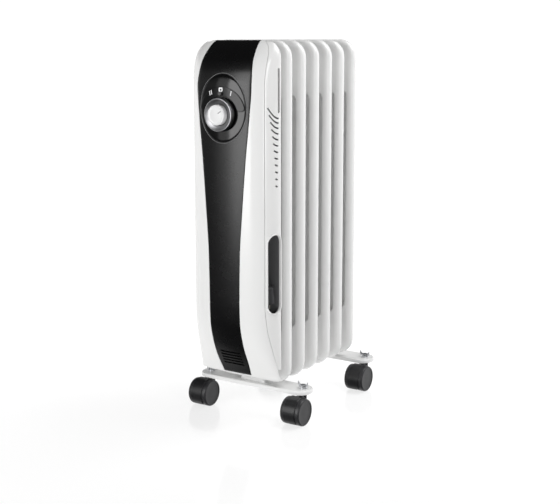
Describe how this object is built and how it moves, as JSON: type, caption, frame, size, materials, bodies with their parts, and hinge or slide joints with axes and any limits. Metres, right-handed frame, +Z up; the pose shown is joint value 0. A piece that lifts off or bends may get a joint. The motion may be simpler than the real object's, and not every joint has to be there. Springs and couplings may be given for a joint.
{
  "type": "oil filled radiator heater",
  "caption": "Upright oil filled column heater with flat hollow fins, a control housing with selector and thermostat dial, a cord compartment and twin-wheel casters.",
  "frame": {"origin": "on the floor, under the middle of the heater's box", "axes": "+Z up; X across the fins, -Y towards the control housing's front"},
  "size_m": [0.2218, 0.343, 0.62],
  "materials": {
    "white_steel": "gloss white stove enamel",
    "zinc_steel": "zinc plated",
    "gasket_rubber": "matt",
    "caster_plastic": "satin moulded nylon",
    "wheel_plastic": "satin moulded nylon",
    "white_plastic": "gloss moulded",
    "black_gloss": "high gloss",
    "dark_plastic": "fine texture",
    "lens": "polished",
    "lamp_glass": "polished",
    "silver_trim": "satin chrome",
    "knob_trim": "satin silver lacquer",
    "cord_sheath": "satin PVC",
    "plug_rubber": "fine texture",
    "pin_brass": "nickel plated"
  },
  "bodies": {
    "heater": {"back_plate": "zinc_steel", "cord_compartment": "dark_plastic", "cord_gland": "dark_plastic", "cord_tie": "cord_sheath", "dial_panel": "black_gloss", "element_flange": "white_steel", "element_gasket": "gasket_rubber", "filler_plug": "zinc_steel", "fin_1": "white_steel", "fin_2": "white_steel", "fin_3": "white_steel", "fin_4": "white_steel", "fin_5": "white_steel", "fin_6": "white_steel", "front_band": "black_gloss", "front_bracket": "white_steel", "front_shell": "white_plastic", "heating_element": "zinc_steel", "housing_screws": "zinc_steel", "lower_collector": "white_steel", "pilot_lamp": "lamp_glass", "pilot_lens": "lens", "plug_body": "plug_rubber", "plug_pins": "pin_brass", "power_cord_coil": "cord_sheath", "power_cord_lead": "cord_sheath", "power_cord_tail": "cord_sheath", "rear_bracket": "white_steel", "rear_cover": "white_plastic", "scale_ring": "dark_plastic", "selector_switch": "dark_plastic", "terminal_block": "dark_plastic", "thermal_cutout": "zinc_steel", "thermostat": "zinc_steel", "u_bolt_nuts": "zinc_steel", "u_bolts": "zinc_steel", "upper_collector": "white_steel", "upper_standoff": "white_steel", "wing_nuts": "zinc_steel", "wiring": "cord_sheath"},
    "selector": {"selector_ring": "silver_trim", "selector_sleeve": "dark_plastic"},
    "thermostat_dial": {"thermostat_knob": "knob_trim", "thermostat_spindle": "zinc_steel"},
    "caster_front_left": {"caster_front_left_axle": "zinc_steel", "caster_front_left_frame": "caster_plastic"},
    "wheel_front_left_left": {"caster_front_left_wheel_left": "wheel_plastic"},
    "wheel_front_left_right": {"caster_front_left_wheel_right": "wheel_plastic"},
    "caster_front_right": {"caster_front_right_axle": "zinc_steel", "caster_front_right_frame": "caster_plastic"},
    "wheel_front_right_left": {"caster_front_right_wheel_left": "wheel_plastic"},
    "wheel_front_right_right": {"caster_front_right_wheel_right": "wheel_plastic"},
    "caster_rear_left": {"caster_rear_left_axle": "zinc_steel", "caster_rear_left_frame": "caster_plastic"},
    "wheel_rear_left_left": {"caster_rear_left_wheel_left": "wheel_plastic"},
    "wheel_rear_left_right": {"caster_rear_left_wheel_right": "wheel_plastic"},
    "caster_rear_right": {"caster_rear_right_axle": "zinc_steel", "caster_rear_right_frame": "caster_plastic"},
    "wheel_rear_right_left": {"caster_rear_right_wheel_left": "wheel_plastic"},
    "wheel_rear_right_right": {"caster_rear_right_wheel_right": "wheel_plastic"}
  },
  "joints": [
    {"name": "selector_turn", "type": "hinge", "parent": "heater", "child": "selector", "pos_m": [0, -0.1575, 0.5055], "axis": [0, 1, 0], "range_deg": [-30, 30]},
    {"name": "thermostat_turn", "type": "hinge", "parent": "heater", "child": "thermostat_dial", "pos_m": [0, -0.165, 0.5055], "axis": [0, 1, 0], "range_deg": [-208, 92]},
    {"name": "front_left_swivel", "type": "hinge", "parent": "heater", "child": "caster_front_left", "pos_m": [-0.093, -0.0625, 0.05], "axis": [0, 0, 1], "continuous": true},
    {"name": "front_left_left_wheel_spin", "type": "hinge", "parent": "caster_front_left", "child": "wheel_front_left_left", "pos_m": [-0.093, -0.0845, 0.0224], "axis": [1, 0, 0], "continuous": true},
    {"name": "front_left_right_wheel_spin", "type": "hinge", "parent": "caster_front_left", "child": "wheel_front_left_right", "pos_m": [-0.093, -0.0845, 0.0224], "axis": [1, 0, 0], "continuous": true},
    {"name": "front_right_swivel", "type": "hinge", "parent": "heater", "child": "caster_front_right", "pos_m": [0.093, -0.0625, 0.05], "axis": [0, 0, 1], "continuous": true},
    {"name": "front_right_left_wheel_spin", "type": "hinge", "parent": "caster_front_right", "child": "wheel_front_right_left", "pos_m": [0.093, -0.0845, 0.0224], "axis": [1, 0, 0], "continuous": true},
    {"name": "front_right_right_wheel_spin", "type": "hinge", "parent": "caster_front_right", "child": "wheel_front_right_right", "pos_m": [0.093, -0.0845, 0.0224], "axis": [1, 0, 0], "continuous": true},
    {"name": "rear_left_swivel", "type": "hinge", "parent": "heater", "child": "caster_rear_left", "pos_m": [-0.093, 0.1505, 0.05], "axis": [0, 0, 1], "continuous": true},
    {"name": "rear_left_left_wheel_spin", "type": "hinge", "parent": "caster_rear_left", "child": "wheel_rear_left_left", "pos_m": [-0.093, 0.1285, 0.0224], "axis": [1, 0, 0], "continuous": true},
    {"name": "rear_left_right_wheel_spin", "type": "hinge", "parent": "caster_rear_left", "child": "wheel_rear_left_right", "pos_m": [-0.093, 0.1285, 0.0224], "axis": [1, 0, 0], "continuous": true},
    {"name": "rear_right_swivel", "type": "hinge", "parent": "heater", "child": "caster_rear_right", "pos_m": [0.093, 0.1505, 0.05], "axis": [0, 0, 1], "continuous": true},
    {"name": "rear_right_left_wheel_spin", "type": "hinge", "parent": "caster_rear_right", "child": "wheel_rear_right_left", "pos_m": [0.093, 0.1285, 0.0224], "axis": [1, 0, 0], "continuous": true},
    {"name": "rear_right_right_wheel_spin", "type": "hinge", "parent": "caster_rear_right", "child": "wheel_rear_right_right", "pos_m": [0.093, 0.1285, 0.0224], "axis": [1, 0, 0], "continuous": true}
  ]
}
